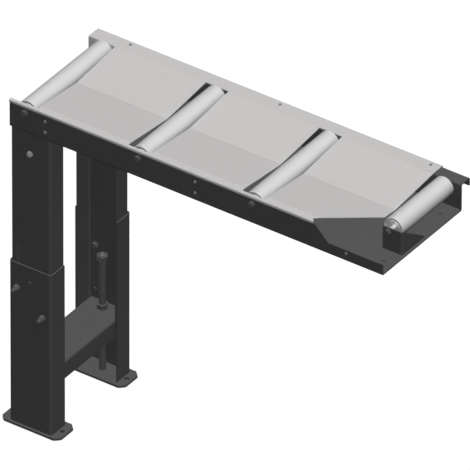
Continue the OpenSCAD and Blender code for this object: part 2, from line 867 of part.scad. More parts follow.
base_plate(false);  // base_plate_near
base_plate(true);  // base_plate_far
lower_leg(false);  // lower_leg_near
lower_leg(true);  // lower_leg_far
clamp_bolts();
clamp_nuts();
clamp_washers();
slot_washers();
upper_leg(false);  // upper_leg_near
upper_leg(true);  // upper_leg_far
crossbeam();
crossbeam_nuts();
jack_rod(false);  // jack_rod_near
jack_rod(true);  // jack_rod_far
jack_head(false);  // jack_head_near
jack_head(true);  // jack_head_far
head_beam();
head_screws();
head_nuts();
body_screws();
body_nuts();
conveyor_body();
end_bracket();
drip_tray();
tray_screws();
tray_nuts();
side_screws();
side_inserts();
axle_screws();
axle_washers();
for (i = [0:short_i]) {
    axle(i);
    roller_tube(i);
    roller_housings(i);
    bearing_inner(i);
    bearing_outer(i);
    bearing_balls(i);
}
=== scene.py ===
import math

import bmesh
import bpy
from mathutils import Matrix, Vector


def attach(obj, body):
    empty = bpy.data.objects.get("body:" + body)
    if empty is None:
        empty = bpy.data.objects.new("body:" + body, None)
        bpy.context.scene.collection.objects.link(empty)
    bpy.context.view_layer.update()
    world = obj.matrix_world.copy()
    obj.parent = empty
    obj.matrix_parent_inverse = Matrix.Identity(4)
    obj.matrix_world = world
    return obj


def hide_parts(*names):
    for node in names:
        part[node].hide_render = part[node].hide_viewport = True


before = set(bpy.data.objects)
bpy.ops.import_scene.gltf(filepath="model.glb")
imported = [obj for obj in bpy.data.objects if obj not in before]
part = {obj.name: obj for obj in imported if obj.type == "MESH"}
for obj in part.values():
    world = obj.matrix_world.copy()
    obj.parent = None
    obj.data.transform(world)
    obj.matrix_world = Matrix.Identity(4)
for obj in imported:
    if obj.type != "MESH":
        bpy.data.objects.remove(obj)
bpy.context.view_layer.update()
bpy.ops.object.select_all(action="DESELECT")

# The viewpoint: a long lens from far off, high on the near side, which shows the
# conveyor almost in parallel projection.

lens_mm = 1700.0
viewpoint = (23.3815, -32.9247, 28.6357)
viewpoint_turn = (55.0768, -0.1632, 34.9747)

bpy.ops.object.camera_add(location=viewpoint, rotation=[math.radians(a) for a in viewpoint_turn])
camera = bpy.context.object
camera.name = "long_lens_camera"
camera.data.lens = lens_mm
camera.data.sensor_width = 36.0
camera.data.clip_start = 1.0
camera.data.clip_end = 120.0
bpy.context.scene.camera = camera

# The studio: a floor that the feet stand on, a white surround, and broad lamps. Most
# of the light is one high lamp on the near side, which casts no shadow. The floor's glow
# is darkened by ambient occlusion close round the feet, a painted soft shadow.

floor_size = 60.0
floor_grey = 0.04
floor_glow = 0.98
shadow_reach = 0.018
shadow_dark = 0.52
shadow_clear = 0.64
surround_light = 0.025

bpy.ops.mesh.primitive_plane_add(size=floor_size, location=(0.45, 0.0, 0.0))
floor = bpy.context.object
floor.name = "studio_floor"
floor_coat = bpy.data.materials.new("pale_studio_floor")
floor_coat.use_nodes = True
nodes = floor_coat.node_tree.nodes
links = floor_coat.node_tree.links
nodes.clear()
out = nodes.new("ShaderNodeOutputMaterial")
matt = nodes.new("ShaderNodeBsdfDiffuse")
matt.inputs["Color"].default_value = (floor_grey, floor_grey, floor_grey, 1.0)
glow = nodes.new("ShaderNodeEmission")
# Painted shadow: the floor's glow is dimmed where ambient occlusion finds the object close by.
corner = nodes.new("ShaderNodeAmbientOcclusion")
corner.samples = 16
corner.inputs["Distance"].default_value = shadow_reach
depth = nodes.new("ShaderNodeMapRange")
depth.inputs["From Min"].default_value = shadow_dark
depth.inputs["From Max"].default_value = shadow_clear
path = nodes.new("ShaderNodeLightPath")
seen = nodes.new("ShaderNodeMath")
seen.operation = "MAXIMUM"
seen_also = nodes.new("ShaderNodeMath")
seen_also.operation = "MAXIMUM"
level = nodes.new("ShaderNodeMath")
level.operation = "MULTIPLY"
level.inputs[1].default_value = floor_glow
glow_with_painted_shadow = nodes.new("ShaderNodeMath")
glow_with_painted_shadow.operation = "MULTIPLY"
both = nodes.new("ShaderNodeAddShader")
links.new(path.outputs["Is Camera Ray"], seen.inputs[0])
links.new(path.outputs["Is Glossy Ray"], seen.inputs[1])
links.new(seen.outputs["Value"], seen_also.inputs[0])
links.new(path.outputs["Is Transmission Ray"], seen_also.inputs[1])
links.new(seen_also.outputs["Value"], level.inputs[0])
links.new(corner.outputs["AO"], depth.inputs["Value"])
links.new(depth.outputs["Result"], glow_with_painted_shadow.inputs[0])
links.new(level.outputs["Value"], glow_with_painted_shadow.inputs[1])
links.new(glow_with_painted_shadow.outputs["Value"], glow.inputs["Strength"])
links.new(matt.outputs["BSDF"], both.inputs[0])
links.new(glow.outputs["Emission"], both.inputs[1])
links.new(both.outputs["Shader"], out.inputs["Surface"])
floor.data.materials.append(floor_coat)

surround = bpy.data.worlds.new("bright_surround")
bpy.context.scene.world = surround
surround.use_nodes = True
nodes = surround.node_tree.nodes
links = surround.node_tree.links
nodes.clear()
out = nodes.new("ShaderNodeOutputWorld")
sky = nodes.new("ShaderNodeBackground")
sky.inputs["Color"].default_value = (1.0, 1.0, 1.0, 1.0)
path = nodes.new("ShaderNodeLightPath")
seen = nodes.new("ShaderNodeMath")
seen.operation = "MAXIMUM"
seen_also = nodes.new("ShaderNodeMath")
seen_also.operation = "MAXIMUM"
level = nodes.new("ShaderNodeMapRange")
level.inputs["To Min"].default_value = surround_light
level.inputs["To Max"].default_value = 1.0
links.new(path.outputs["Is Camera Ray"], seen.inputs[0])
links.new(path.outputs["Is Glossy Ray"], seen.inputs[1])
links.new(seen.outputs["Value"], seen_also.inputs[0])
links.new(path.outputs["Is Transmission Ray"], seen_also.inputs[1])
links.new(seen_also.outputs["Value"], level.inputs["Value"])
links.new(level.outputs["Result"], sky.inputs["Strength"])
links.new(sky.outputs["Background"], out.inputs["Surface"])

for name, strength, spread, shades, glints, towards in (
    ("overhead_lamp_even", 3.21, 20.0, False, True, (0.33, -0.265, 1.0)),
    ("overhead_lamp_soft", 0.12, 40.0, True, True, (0.33, -0.265, 1.0)),
    ("far_side_lamp", 0.12, 6.0, False, True, (-0.469, 0.60, 0.65)),
    ("rear_fill_lamp", 0.70, 30.0, False, False, (-0.48, 0.87, 0.06)),
):
    bpy.ops.object.light_add(type="SUN", location=(0.6, -0.6, 3.0))
    lamp = bpy.context.object
    lamp.name = name
    lamp.data.energy = strength
    lamp.data.angle = math.radians(spread)
    lamp.data.use_shadow = shades
    lamp.visible_glossy = glints
    lamp.rotation_euler = Vector(towards).to_track_quat("Z", "Y").to_euler()

bpy.context.scene.view_settings.view_transform = "Standard"

# Powder coating: the frame's sheet metal is steel, sprayed with a dark grey powder
# and baked. It has a fine orange peel, faint mottling and a soft, almost matt sheen.

powder = bpy.data.node_groups.new("powder_skin", "ShaderNodeTree")
for name, kind, value in (
    ("Colour", "NodeSocketColor", (0.5, 0.5, 0.5, 1.0)),
    ("Mottling", "NodeSocketFloat", 0.05),
    ("Grain per metre", "NodeSocketFloat", 900.0),
    ("Roughness", "NodeSocketFloat", 0.5),
    ("Peel height", "NodeSocketFloat", 0.00002),
):
    socket = powder.interface.new_socket(name, in_out="INPUT", socket_type=kind)
    socket.default_value = value
powder.interface.new_socket("Colour", in_out="OUTPUT", socket_type="NodeSocketColor")
powder.interface.new_socket("Roughness", in_out="OUTPUT", socket_type="NodeSocketFloat")
powder.interface.new_socket("Normal", in_out="OUTPUT", socket_type="NodeSocketVector")
nodes = powder.nodes
links = powder.links
given = nodes.new("NodeGroupInput")
result = nodes.new("NodeGroupOutput")
place = nodes.new("ShaderNodeTexCoord")
broad = nodes.new("ShaderNodeTexNoise")
broad.inputs["Scale"].default_value = 9.0
broad.inputs["Detail"].default_value = 6.0
fine = nodes.new("ShaderNodeTexNoise")
fine.inputs["Detail"].default_value = 2.0
blend = nodes.new("ShaderNodeMath")
blend.operation = "MULTIPLY_ADD"
blend.inputs[1].default_value = 0.35
shift = nodes.new("ShaderNodeMath")
shift.operation = "SUBTRACT"
shift.inputs[1].default_value = 0.675
amount = nodes.new("ShaderNodeMath")
amount.operation = "MULTIPLY"
lift = nodes.new("ShaderNodeMath")
lift.operation = "ADD"
lift.inputs[1].default_value = 1.0
tint = nodes.new("ShaderNodeVectorMath")
tint.operation = "SCALE"
rub = nodes.new("ShaderNodeMath")
rub.operation = "ADD"
bump = nodes.new("ShaderNodeBump")
bump.inputs["Strength"].default_value = 0.6
links.new(place.outputs["Object"], broad.inputs["Vector"])
links.new(place.outputs["Object"], fine.inputs["Vector"])
links.new(given.outputs["Grain per metre"], fine.inputs["Scale"])
links.new(fine.outputs["Fac"], blend.inputs[0])
links.new(broad.outputs["Fac"], blend.inputs[2])
links.new(blend.outputs["Value"], shift.inputs[0])
links.new(shift.outputs["Value"], amount.inputs[0])
links.new(given.outputs["Mottling"], amount.inputs[1])
links.new(amount.outputs["Value"], lift.inputs[0])
links.new(given.outputs["Colour"], tint.inputs[0])
links.new(lift.outputs["Value"], tint.inputs["Scale"])
links.new(given.outputs["Roughness"], rub.inputs[0])
links.new(amount.outputs["Value"], rub.inputs[1])
links.new(given.outputs["Peel height"], bump.inputs["Distance"])
links.new(fine.outputs["Fac"], bump.inputs["Height"])
links.new(tint.outputs["Vector"], result.inputs["Colour"])
links.new(rub.outputs["Value"], result.inputs["Roughness"])
links.new(bump.outputs["Normal"], result.inputs["Normal"])

dark_coat = bpy.data.materials.new("dark_powder_coat")
dark_coat.use_nodes = True
skin = dark_coat.node_tree.nodes.new("ShaderNodeGroup")
skin.node_tree = powder
skin.inputs["Colour"].default_value = (0.089, 0.089, 0.0895, 1.0)
skin.inputs["Mottling"].default_value = 0.06
skin.inputs["Roughness"].default_value = 0.58
shader = dark_coat.node_tree.nodes["Principled BSDF"]
shader.inputs["Specular IOR Level"].default_value = 0.01
for channel, socket in (("Colour", "Base Color"), ("Roughness", "Roughness"), ("Normal", "Normal")):
    dark_coat.node_tree.links.new(skin.outputs[channel], shader.inputs[socket])

# Base plates and lower legs: plate cut to shape, and a channel folded from sheet and
# welded on it. Both are coated after welding, and are screwed to the floor.


def finish(piece, coat):
    piece.data.materials.clear()
    piece.data.materials.append(coat)


for name in ("base_plate_near", "base_plate_far", "lower_leg_near", "lower_leg_far"):
    finish(part[name], dark_coat)

# Clamp bolts: hexagon screws of zinc-plated steel with rolled threads. Their heads
# are inside the upper legs, and their long thread ends stand out past the nuts.

merge_within = 0.000005
soft_edge_deg = 28.0
thread_pitch = 0.00125
thread_depth_share = 0.6134
bolt_r = 0.004
bolt_flats = 0.013
bolt_head = 0.0053
clamp_inside_y = 0.1451
clamp_bolt_len = 0.0263
clamp_thread_len = 0.019
clamp_spots = ((-0.0345, 0.373), (0.0345, 0.317))
to_near = (math.radians(90.0), 0.0, 0.0)
to_far = (math.radians(-90.0), 0.0, 0.0)


def turned(name, outline, rounds=32):
    """Spins an outline of radii and heights round the upright axis, as a lathe would.

    An outline that starts off the axis is closed to a ring.
    """
    bpy.ops.mesh.primitive_plane_add(size=0.001)
    piece = bpy.context.object
    piece.name = name
    bpy.ops.object.mode_set(mode="EDIT")
    bpy.ops.mesh.select_all(action="SELECT")
    bpy.ops.mesh.merge(type="CENTER")
    bpy.ops.transform.translate(value=(outline[0][0], 0.0, outline[0][1]))
    closing = outline[:1] if outline[0][0] > 0.0 else []
    for here, there in zip(outline, outline[1:] + closing):
        step = (there[0] - here[0], 0.0, there[1] - here[1])
        bpy.ops.mesh.extrude_vertices_move(TRANSFORM_OT_translate={"value": step})
    bpy.ops.mesh.select_all(action="SELECT")
    bpy.ops.mesh.remove_doubles(threshold=merge_within)
    bpy.ops.mesh.select_all(action="SELECT")
    bpy.ops.mesh.spin(steps=rounds, angle=math.tau, center=(0.0, 0.0, 0.0), axis=(0.0, 0.0, 1.0))
    bpy.ops.mesh.select_all(action="SELECT")
    bpy.ops.mesh.remove_doubles(threshold=merge_within)
    bpy.ops.mesh.normals_make_consistent(inside=False)
    bpy.ops.mesh.select_all(action="DESELECT")
    bpy.ops.object.mode_set(mode="OBJECT")
    return piece


def trimmed(piece, flats, low, high, keep):
    """Cuts a hexagon out of a turned blank, or keeps only what is in the hexagon."""
    bpy.ops.mesh.primitive_cylinder_add(
        vertices=6,
        radius=flats / math.sqrt(3.0),
        depth=high - low,
        location=(0.0, 0.0, (low + high) / 2.0),
        rotation=(0.0, 0.0, math.radians(30.0)),
    )
    hexagon = bpy.context.object
    cut = piece.modifiers.new("hexagon", "BOOLEAN")
    cut.operation = "INTERSECT" if keep else "DIFFERENCE"
    cut.object = hexagon
    bpy.context.view_layer.objects.active = piece
    bpy.ops.object.modifier_apply(modifier=cut.name)
    bpy.data.objects.remove(hexagon)
    return piece


def threaded(name, radius, pitch, low, high, point, rounds=24):
    """Winds one turn of thread up an upright rod, then trims both ends and points them."""
    root = radius - thread_depth_share * pitch
    turns = math.ceil((high - low) / pitch) + 2
    tooth = ((root, 0.0), (root, 0.25), (radius, 0.55), (radius, 0.70), (root, 1.0))
    bpy.ops.mesh.primitive_plane_add(size=0.001)
    piece = bpy.context.object
    piece.name = name
    bpy.ops.object.mode_set(mode="EDIT")
    bpy.ops.mesh.select_all(action="SELECT")
    bpy.ops.mesh.merge(type="CENTER")
    bpy.ops.transform.translate(value=(root, 0.0, low - pitch))
    for here, there in zip(tooth, tooth[1:]):
        step = (there[0] - here[0], 0.0, (there[1] - here[1]) * pitch)
        bpy.ops.mesh.extrude_vertices_move(TRANSFORM_OT_translate={"value": step})
    bpy.ops.object.mode_set(mode="OBJECT")
    wind = piece.modifiers.new("thread", "SCREW")
    wind.angle = math.tau
    wind.screw_offset = pitch
    wind.iterations = turns
    wind.steps = rounds
    wind.render_steps = rounds
    wind.use_merge_vertices = True
    wind.merge_threshold = merge_within
    bpy.ops.object.modifier_apply(modifier=wind.name)
    bpy.ops.object.mode_set(mode="EDIT")
    for height, way in ((low, -1.0), (high, 1.0)):
        bpy.ops.mesh.select_all(action="SELECT")
        bpy.ops.mesh.bisect(
            plane_co=(0.0, 0.0, height),
            plane_no=(0.0, 0.0, way),
            use_fill=True,
            clear_outer=True,
        )
    for height in (low, high):
        shape = bmesh.from_edit_mesh(piece.data)
        for vertex in shape.verts:
            vertex.select_set(abs(vertex.co.z - height) < point * 0.6)
        shape.select_flush_mode()
        bmesh.update_edit_mesh(piece.data)
        slim = 1.0 - point / radius
        bpy.ops.transform.resize(value=(slim, slim, 1.0), center_override=(0.0, 0.0, height))
    bpy.ops.mesh.select_all(action="SELECT")
    bpy.ops.mesh.normals_make_consistent(inside=False)
    bpy.ops.mesh.select_all(action="DESELECT")
    bpy.ops.object.mode_set(mode="OBJECT")
    return piece


def joined(*pieces):
    """Joins pieces into the first one, and rounds off the look of its shallow edges."""
    bpy.ops.object.select_all(action="DESELECT")
    for piece in pieces:
        piece.select_set(True)
    bpy.context.view_layer.objects.active = pieces[0]
    if len(pieces) > 1:
        bpy.ops.object.join()
    bpy.ops.object.shade_smooth_by_angle(angle=math.radians(soft_edge_deg))
    bpy.ops.object.select_all(action="DESELECT")
    return pieces[0]


def hexagon_screw(name, length, thread):
    """Screw with its head below zero and its shank upwards, threaded over its last stretch."""
    corner_r = bolt_flats / math.sqrt(3.0)
    head = turned(
        name,
        [(0.0, 0.0), (0.0057, 0.0), (corner_r + 0.0004, -0.0008), (corner_r + 0.0004, -bolt_head + 0.0011),
         (0.0060, -bolt_head), (0.0, -bolt_head)],
        48,
    )
    trimmed(head, bolt_flats, -2.0 * bolt_head, bolt_head, True)
    shank = turned(
        name + "_shank",
        [(0.0, -0.001), (bolt_r, -0.001), (bolt_r, length - thread - 0.0006),
         (bolt_r - 0.0007, length - thread), (0.0, length - thread)],
    )
    screw = threaded(name + "_thread", bolt_r, thread_pitch, length - thread - 0.0005, length, 0.0008)
    return joined(head, shank, screw)


def set_in_place(model, name, spot, turn, body, node):
    """Copies a model to its place on the conveyor, with a mesh of its own."""
    bpy.ops.object.select_all(action="DESELECT")
    model.select_set(True)
    bpy.context.view_layer.objects.active = model
    bpy.ops.object.duplicate()
    piece = bpy.context.object
    piece.name = name
    piece.location = spot
    piece.rotation_euler = turn
    bpy.ops.object.transform_apply(location=True, rotation=True, scale=True)
    bpy.ops.object.select_all(action="DESELECT")
    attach(piece, body)
    if node:
        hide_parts(node)
    return piece


plating = bpy.data.node_groups.new("metal_bloom", "ShaderNodeTree")
for name, kind, value in (
    ("Colour", "NodeSocketColor", (0.5, 0.5, 0.5, 1.0)),
    ("Bloom colour", "NodeSocketColor", (0.5, 0.5, 0.5, 1.0)),
    ("Bloom", "NodeSocketFloat", 0.3),
    ("Patches per metre", "NodeSocketFloat", 220.0),
    ("Roughness", "NodeSocketFloat", 0.4),
    ("Grain height", "NodeSocketFloat", 0.00001),
):
    socket = plating.interface.new_socket(name, in_out="INPUT", socket_type=kind)
    socket.default_value = value
plating.interface.new_socket("Colour", in_out="OUTPUT", socket_type="NodeSocketColor")
plating.interface.new_socket("Roughness", in_out="OUTPUT", socket_type="NodeSocketFloat")
plating.interface.new_socket("Normal", in_out="OUTPUT", socket_type="NodeSocketVector")
nodes = plating.nodes
links = plating.links
given = nodes.new("NodeGroupInput")
result = nodes.new("NodeGroupOutput")
place = nodes.new("ShaderNodeTexCoord")
patches = nodes.new("ShaderNodeTexNoise")
patches.inputs["Detail"].default_value = 3.0
grain = nodes.new("ShaderNodeTexNoise")
grain.inputs["Scale"].default_value = 2500.0
spread = nodes.new("ShaderNodeMapRange")
spread.inputs["From Min"].default_value = 0.40
spread.inputs["From Max"].default_value = 0.65
amount = nodes.new("ShaderNodeMath")
amount.operation = "MULTIPLY"
mixed = nodes.new("ShaderNodeMix")
mixed.data_type = "RGBA"
rub = nodes.new("ShaderNodeMath")
rub.operation = "MULTIPLY_ADD"
rub.inputs[1].default_value = 0.15
bump = nodes.new("ShaderNodeBump")
bump.inputs["Strength"].default_value = 0.4
links.new(place.outputs["Object"], patches.inputs["Vector"])
links.new(place.outputs["Object"], grain.inputs["Vector"])
links.new(given.outputs["Patches per metre"], patches.inputs["Scale"])
links.new(patches.outputs["Fac"], spread.inputs["Value"])
links.new(spread.outputs["Result"], amount.inputs[0])
links.new(given.outputs["Bloom"], amount.inputs[1])
links.new(amount.outputs["Value"], mixed.inputs["Factor"])
links.new(given.outputs["Colour"], mixed.inputs["A"])
links.new(given.outputs["Bloom colour"], mixed.inputs["B"])
links.new(amount.outputs["Value"], rub.inputs[0])
links.new(given.outputs["Roughness"], rub.inputs[2])
links.new(given.outputs["Grain height"], bump.inputs["Distance"])
links.new(grain.outputs["Fac"], bump.inputs["Height"])
links.new(mixed.outputs["Result"], result.inputs["Colour"])
links.new(rub.outputs["Value"], result.inputs["Roughness"])
links.new(bump.outputs["Normal"], result.inputs["Normal"])


def plated(name, colour, bloom_colour, bloom, roughness, metallic, specular):
    """A metal finish whose colour and shine vary a little from patch to patch."""
    coat = bpy.data.materials.new(name)
    coat.use_nodes = True
    skin = coat.node_tree.nodes.new("ShaderNodeGroup")
    skin.node_tree = plating
    skin.inputs["Colour"].default_value = (*colour, 1.0)
    skin.inputs["Bloom colour"].default_value = (*bloom_colour, 1.0)
    skin.inputs["Bloom"].default_value = bloom
    skin.inputs["Roughness"].default_value = roughness
    shader = coat.node_tree.nodes["Principled BSDF"]
    shader.inputs["Metallic"].default_value = metallic
    shader.inputs["Specular IOR Level"].default_value = specular
    for channel, socket in (("Colour", "Base Color"), ("Roughness", "Roughness"), ("Normal", "Normal")):
        coat.node_tree.links.new(skin.outputs[channel], shader.inputs[socket])
    return coat


zinc_plating = plated(
    "zinc_plating", (0.122, 0.124, 0.127), (0.148, 0.145, 0.140), 0.5, 0.45, 0.18, 0.2
)

clamp_bolt = hexagon_screw("clamp_bolt_model", clamp_bolt_len, clamp_thread_len)
finish(clamp_bolt, zinc_plating)
for x, z in clamp_spots:
    height = "high" if x < 0.0 else "low"
    set_in_place(
        clamp_bolt, f"clamp_bolt_near_{height}", (x, -clamp_inside_y, z), to_near, "base", "clamp_bolts"
    )
    set_in_place(
        clamp_bolt, f"clamp_bolt_far_{height}", (-x, clamp_inside_y, z), to_far, "base", "clamp_bolts"
    )
bpy.data.objects.remove(clamp_bolt)

# Clamp nuts: hexagon nuts of zinc-plated steel, chamfered on both faces. Loosened,
# they let the upper legs slide, and tightened they clamp the legs together.

clamp_nut_y = 0.1549
nut_h = 0.0065
thread_gap = 0.00005


def hexagon_nut(name, flats, height, bore_r):
    """Nut standing on zero, with chamfered corners and a countersunk bore."""
    corner_r = flats / math.sqrt(3.0)
    rim = flats / 2.0 * 0.93
    blank = turned(
        name,
        [(bore_r, 0.0006), (bore_r + 0.0007, 0.0), (rim, 0.0), (corner_r + 0.0003, (corner_r - rim) * 0.5),
         (corner_r + 0.0003, height - (corner_r - rim) * 0.5), (rim, height), (bore_r + 0.0007, height),
         (bore_r, height - 0.0006)],
        48,
    )
    trimmed(blank, flats, -height, 2.0 * height, True)
    return joined(blank)


clamp_nut = hexagon_nut("clamp_nut_model", bolt_flats, nut_h, bolt_r + thread_gap)
finish(clamp_nut, zinc_plating)
for x, z in clamp_spots:
    height = "high" if x < 0.0 else "low"
    set_in_place(
        clamp_nut, f"clamp_nut_near_{height}", (x, -clamp_nut_y, z), to_near, "base", "clamp_nuts"
    )
    set_in_place(
        clamp_nut, f"clamp_nut_far_{height}", (-x, clamp_nut_y, z), to_far, "base", "clamp_nuts"
    )
bpy.data.objects.remove(clamp_nut)

# Clamp washers: stamped rings of blackened steel, a plain one under each nut and a
# wider one under each head, which bridges the slot of the upper leg.

washer_t = 0.0016
washer_hole_r = 0.0045
washer_r = 0.008
slot_washer_r = 0.010


def stamped_washer(name, outer_r):
    """Washer standing on zero, its upper rim rounded and its lower rim sharp from the die."""
    ring = turned(
        name,
        [(washer_hole_r, 0.0002), (washer_hole_r + 0.0002, 0.0), (outer_r, 0.0), (outer_r, washer_t - 0.0005),
         (outer_r - 0.00015, washer_t - 0.00015), (outer_r - 0.0005, washer_t), (washer_hole_r, washer_t)],
        40,
    )
    return joined(ring)


black_steel = plated(
    "blackened_steel", (0.088, 0.088, 0.090), (0.105, 0.103, 0.100), 0.5, 0.50, 0.0, 0.10
)

for node, outer_r, start_y in (
    ("clamp_washers", washer_r, clamp_nut_y - washer_t),
    ("slot_washers", slot_washer_r, clamp_inside_y),
):
    washer = stamped_washer(f"{node}_model", outer_r)
    finish(washer, black_steel)
    for x, z in clamp_spots:
        height = "high" if x < 0.0 else "low"
        name = f"{node[:-1]}_{height}"
        set_in_place(washer, f"{name}_near", (x, -start_y, z), to_near, "base", node)
        set_in_place(washer, f"{name}_far", (-x, start_y, z), to_far, "base", node)
    bpy.data.objects.remove(washer)

# Upper legs, crossbeam and head beam: channels folded from sheet, slotted or cut at
# the corners, and coated like the lower legs that the upper legs slide in.

for name in ("upper_leg_near", "upper_leg_far", "crossbeam", "head_beam"):
    finish(part[name], dark_coat)

# Jack rods: blackened steel rods with a rolled thread from end to end. Each stands
# on its base plate and lifts the crossbeam when it is turned.

rod_r = 0.008
rod_pitch = 0.002
rod_y = 0.1245
rod_low = 0.0053
rod_high = 0.315
upwards = (0.0, 0.0, 0.0)

rod_steel = plated("oiled_black_rod", (0.037, 0.037, 0.038), (0.050, 0.049, 0.047), 0.4, 0.50, 0.0, 0.12)
sawn_steel = plated("sawn_rod_end", (0.13, 0.13, 0.13), (0.16, 0.157, 0.15), 0.4, 0.45, 0.0, 0.30)
nut_steel = plated("oiled_black_nut", (0.085, 0.085, 0.087), (0.105, 0.103, 0.10), 0.4, 0.45, 0.0, 0.25)

rod = threaded("jack_rod_model", rod_r, rod_pitch, rod_low, rod_high, 0.001, 32)
joined(rod)
finish(rod, rod_steel)
rod.data.materials.append(sawn_steel)
for face in rod.data.polygons:
    if abs(face.normal.z) > 0.98:
        face.material_index = 1
for side, way in (("near", -1.0), ("far", 1.0)):
    set_in_place(
        rod, f"threaded_rod_{side}", (0.0, way * rod_y, 0.0), upwards, f"jack_{side}",
        f"jack_rod_{side}",
    )
bpy.data.objects.remove(rod)

# Jack nuts and jack heads: large hexagon nuts of blackened steel. One pair is welded
# onto the crossbeam, the other is fixed on the rods' tops to turn them with a spanner.

jack_flats = 0.024
jack_nut_h = 0.013
beam_top = 0.172
head_low = 0.303

jack_nut = hexagon_nut("jack_nut_model", jack_flats, jack_nut_h, rod_r + thread_gap)
finish(jack_nut, nut_steel)
for side, way in (("near", -1.0), ("far", 1.0)):
    set_in_place(
        jack_nut, f"beam_nut_{side}", (0.0, way * rod_y, beam_top), upwards, "upper_frame",
        "crossbeam_nuts",
    )
    set_in_place(
        jack_nut, f"spanner_nut_{side}", (0.0, way * rod_y, head_low), upwards, f"jack_{side}",
        f"jack_head_{side}",
    )
bpy.data.objects.remove(jack_nut)

# Head screws: one hexagon screw and nut at each side, zinc-plated, through the upper
# leg's web into the tab of the head beam.

leg_web_y = 0.150
head_screw_z = 0.744
head_nut_y = 0.1437
head_screw_len = 0.0158
short_thread_len = 0.0125

bright_zinc = plated("bright_zinc_plating", (0.30, 0.303, 0.306), (0.34, 0.335, 0.325), 0.5, 0.42, 0.30, 0.2)

head_screw = hexagon_screw("head_screw_model", head_screw_len, short_thread_len)
head_nut = hexagon_nut("head_nut_model", bolt_flats, nut_h, bolt_r + thread_gap)
for model in (head_screw, head_nut):
    finish(model, bright_zinc)
set_in_place(
    head_screw, "head_screw_near", (0.0, -leg_web_y, head_screw_z), to_far, "upper_frame", "head_screws"
)
set_in_place(
    head_screw, "head_screw_far", (0.0, leg_web_y, head_screw_z), to_near, "upper_frame", "head_screws"
)
set_in_place(head_nut, "head_nut_near", (0.0, -head_nut_y, head_screw_z), to_far, "upper_frame", "head_nuts")
set_in_place(head_nut, "head_nut_far", (0.0, head_nut_y, head_screw_z), to_near, "upper_frame", "head_nuts")
bpy.data.objects.remove(head_screw)
bpy.data.objects.remove(head_nut)

# Body screws: four zinc-plated hexagon screws down through the floor of the body and
# the top of the head beam, with nuts below. The tray hides their heads.

body_floor_z = 0.802
body_nut_z = 0.7895
body_screw_len = 0.0155
mount_x = 0.03
mount_y = 0.06
downwards = (math.radians(180.0), 0.0, 0.0)

body_screw = hexagon_screw("body_screw_model", body_screw_len, short_thread_len)
body_nut = hexagon_nut("body_nut_model", bolt_flats, nut_h, bolt_r + thread_gap)
for model in (body_screw, body_nut):
    finish(model, zinc_plating)
mount_spots = ((-mount_x, -mount_y), (mount_x, -mount_y), (-mount_x, mount_y), (mount_x, mount_y))
for i, (x, y) in enumerate(mount_spots, 1):
    set_in_place(
        body_screw, f"body_screw_{i}", (x, y, body_floor_z), downwards, "upper_frame", "body_screws"
    )
    set_in_place(body_nut, f"body_nut_{i}", (x, y, body_nut_z), upwards, "upper_frame", "body_nuts")
bpy.data.objects.remove(body_screw)

# Conveyor body and end bracket: the body is one sheet folded to a trough with a far
# flange and lip, and the bracket is a folded plate welded on its floor. Both are coated.

for name in ("conveyor_body", "end_bracket"):
    finish(part[name], dark_coat)

# Machine nuts: two zinc-plated nuts welded under the floor of the body, which take
# the screws of the sawing machine.

machine_nut_x = 0.918
machine_nut_y = 0.110
machine_nut_z = 0.7925

for side, way in (("near", -1.0), ("far", 1.0)):
    set_in_place(
        body_nut, f"machine_nut_{side}", (machine_nut_x, way * machine_nut_y, machine_nut_z), upwards,
        "upper_frame", None,
    )
bpy.data.objects.remove(body_nut)

# Drip tray: one sheet of thinner steel, folded to a shallow valley and painted light
# grey. It lies in the body, hooked over both edges and screwed down on the far side.

tray_paint = bpy.data.materials.new("light_tray_paint")
tray_paint.use_nodes = True
skin = tray_paint.node_tree.nodes.new("ShaderNodeGroup")
skin.node_tree = powder
skin.inputs["Colour"].default_value = (0.430, 0.4205, 0.4165, 1.0)
skin.inputs["Mottling"].default_value = 0.03
skin.inputs["Roughness"].default_value = 0.30
shader = tray_paint.node_tree.nodes["Principled BSDF"]
shader.inputs["Specular IOR Level"].default_value = 0.5
for channel, socket in (("Colour", "Base Color"), ("Roughness", "Roughness"), ("Normal", "Normal")):
    tray_paint.node_tree.links.new(skin.outputs[channel], shader.inputs[socket])
finish(part["drip_tray"], tray_paint)

# Tray screws: three small round-headed screws with hexagon sockets, blackened, down
# through the far strip of the tray, with small nuts under the body's flange.

small_r = 0.002
small_head_r = 0.0038
small_head_h = 0.0022
small_nut_flats = 0.007
small_nut_h = 0.0032
socket_flats = 0.0025
socket_mouth = -0.004
socket_floor = -0.0008
tray_screw_len = 0.012
tray_screw_y = 0.173
tray_top_z = 0.8715
tray_nut_z = 0.8638
station_x = (0.0425, 0.446, 0.8495)


def socket_screw(name, length):
    """Round-headed screw with its head below zero and its shank upwards."""
    dome = [(small_head_r * math.cos(a), -0.0003 - (small_head_h - 0.0003) * math.sin(a))
            for a in [math.radians(d) for d in range(0, 76, 15)]]
    screw = turned(
        name,
        [(0.0, length), (small_r - 0.0004, length), (small_r, length - 0.0004), (small_r, 0.0),
         (small_head_r, 0.0), *dome, (0.0, -small_head_h)],
    )
    trimmed(screw, socket_flats, socket_mouth, socket_floor, False)
    return joined(screw)


oiled_screw = plated("oiled_black_screw", (0.15, 0.15, 0.152), (0.19, 0.187, 0.18), 0.4, 0.38, 0.3, 0.4)

tray_screw = socket_screw("tray_screw_model", tray_screw_len)
tray_nut = hexagon_nut("tray_nut_model", small_nut_flats, small_nut_h, small_r + thread_gap)
for model in (tray_screw, tray_nut):
    finish(model, oiled_screw)
for i, x in enumerate(station_x, 1):
    set_in_place(
        tray_screw, f"tray_screw_{i}", (x, tray_screw_y, tray_top_z), downwards, "upper_frame", "tray_screws"
    )
    set_in_place(
        tray_nut, f"tray_nut_{i}", (x, tray_screw_y, tray_nut_z), upwards, "upper_frame", "tray_nuts"
    )
bpy.data.objects.remove(tray_screw)
bpy.data.objects.remove(tray_nut)

